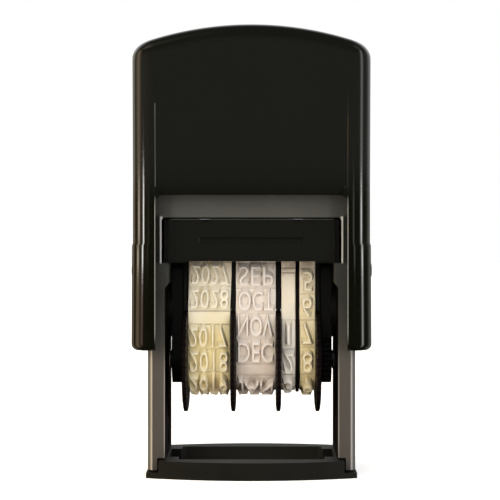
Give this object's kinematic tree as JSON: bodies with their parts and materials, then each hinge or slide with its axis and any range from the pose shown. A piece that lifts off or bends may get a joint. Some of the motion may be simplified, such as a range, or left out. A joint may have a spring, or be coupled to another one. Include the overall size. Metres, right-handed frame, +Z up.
{
  "type": "self-inking date stamp",
  "caption": "Small self-inking date stamp: a sliding cap on a two-legged frame flips a unit of rubber date bands from its ink pad down through the base.",
  "frame": {"origin": "bottom centre of the stamp, in the middle of the imprint, on the paper that the base stands on", "axes": "+Z up to the cap, +X to the right along the line of the date, +Y to the back, away from the ink cassette's front"},
  "size_m": [0.0408, 0.0264, 0.0745],
  "materials": {
    "gloss_black_plastic": "polished black ABS",
    "anthracite_plastic": "dark grey ABS with a fine moulded grain",
    "black_plastic": "satin black moulded plastic",
    "inked_foam": "foam soaked with dark ink",
    "spring_steel": "drawn steel wire",
    "cream_rubber": "moulded cream rubber",
    "pale_rubber": "moulded pale rubber",
    "ivory_rubber": "moulded ivory rubber"
  },
  "bodies": {
    "frame": {"frame_housing": "anthracite_plastic", "base_plate": "black_plastic", "cap_spring": "spring_steel"},
    "ink_cassette": {"cassette_tray": "black_plastic", "ink_pad": "inked_foam"},
    "cap": {"cap_shell": "gloss_black_plastic"},
    "lock_left": {"lock_button_left": "gloss_black_plastic"},
    "lock_right": {"lock_button_right": "gloss_black_plastic"},
    "date_unit": {"type_carrier": "black_plastic", "unit_side_left": "black_plastic", "unit_side_right": "black_plastic", "wheel_axle": "spring_steel", "band_divider": "black_plastic", "year_band": "cream_rubber", "month_band": "pale_rubber", "day_tens_band": "ivory_rubber", "day_units_band": "cream_rubber"},
    "year_setting": {"year_wheel": "black_plastic"},
    "month_setting": {"month_wheel": "black_plastic"},
    "day_tens_setting": {"day_tens_wheel": "black_plastic"},
    "day_units_setting": {"day_units_wheel": "black_plastic"}
  },
  "joints": [
    {"name": "cap_slide", "type": "slide", "parent": "frame", "child": "cap", "axis": [0, 0, -1], "range_m": [0, 0.0165], "stiffness_N_per_m": 400, "springref_m": -0.01, "deforming": ["cap_spring"]},
    {"name": "unit_flip", "type": "hinge", "parent": "cap", "child": "date_unit", "pos_m": [0, 0, 0.027], "axis": [1, 0, 0], "range_deg": [-180, 0]},
    {"name": "cassette_slide", "type": "slide", "parent": "frame", "child": "ink_cassette", "axis": [0, 1, 0], "range_m": [-0.03, 0]},
    {"name": "lock_left_press", "type": "slide", "parent": "cap", "child": "lock_left", "axis": [-1, 0, 0], "range_m": [-0.0009, 0], "stiffness_N_per_m": 200, "springref_m": 0.002},
    {"name": "lock_right_press", "type": "slide", "parent": "cap", "child": "lock_right", "axis": [1, 0, 0], "range_m": [-0.0009, 0], "stiffness_N_per_m": 200, "springref_m": 0.002},
    {"name": "year_wheel_turn", "type": "hinge", "parent": "date_unit", "child": "year_setting", "pos_m": [-0.01117, 0, 0.0189], "axis": [1, 0, 0], "continuous": true},
    {"name": "month_wheel_turn", "type": "hinge", "parent": "date_unit", "child": "month_setting", "pos_m": [-0.00313, 0, 0.0189], "axis": [1, 0, 0], "continuous": true},
    {"name": "day_tens_wheel_turn", "type": "hinge", "parent": "date_unit", "child": "day_tens_setting", "pos_m": [0.00453, 0, 0.0189], "axis": [1, 0, 0], "continuous": true},
    {"name": "day_units_wheel_turn", "type": "hinge", "parent": "date_unit", "child": "day_units_setting", "pos_m": [0.01117, 0, 0.0189], "axis": [1, 0, 0], "continuous": true}
  ],
  "couplings": [
    {"joint": "unit_flip", "follows": "cap_slide", "rad_per_m": -190.4}
  ]
}
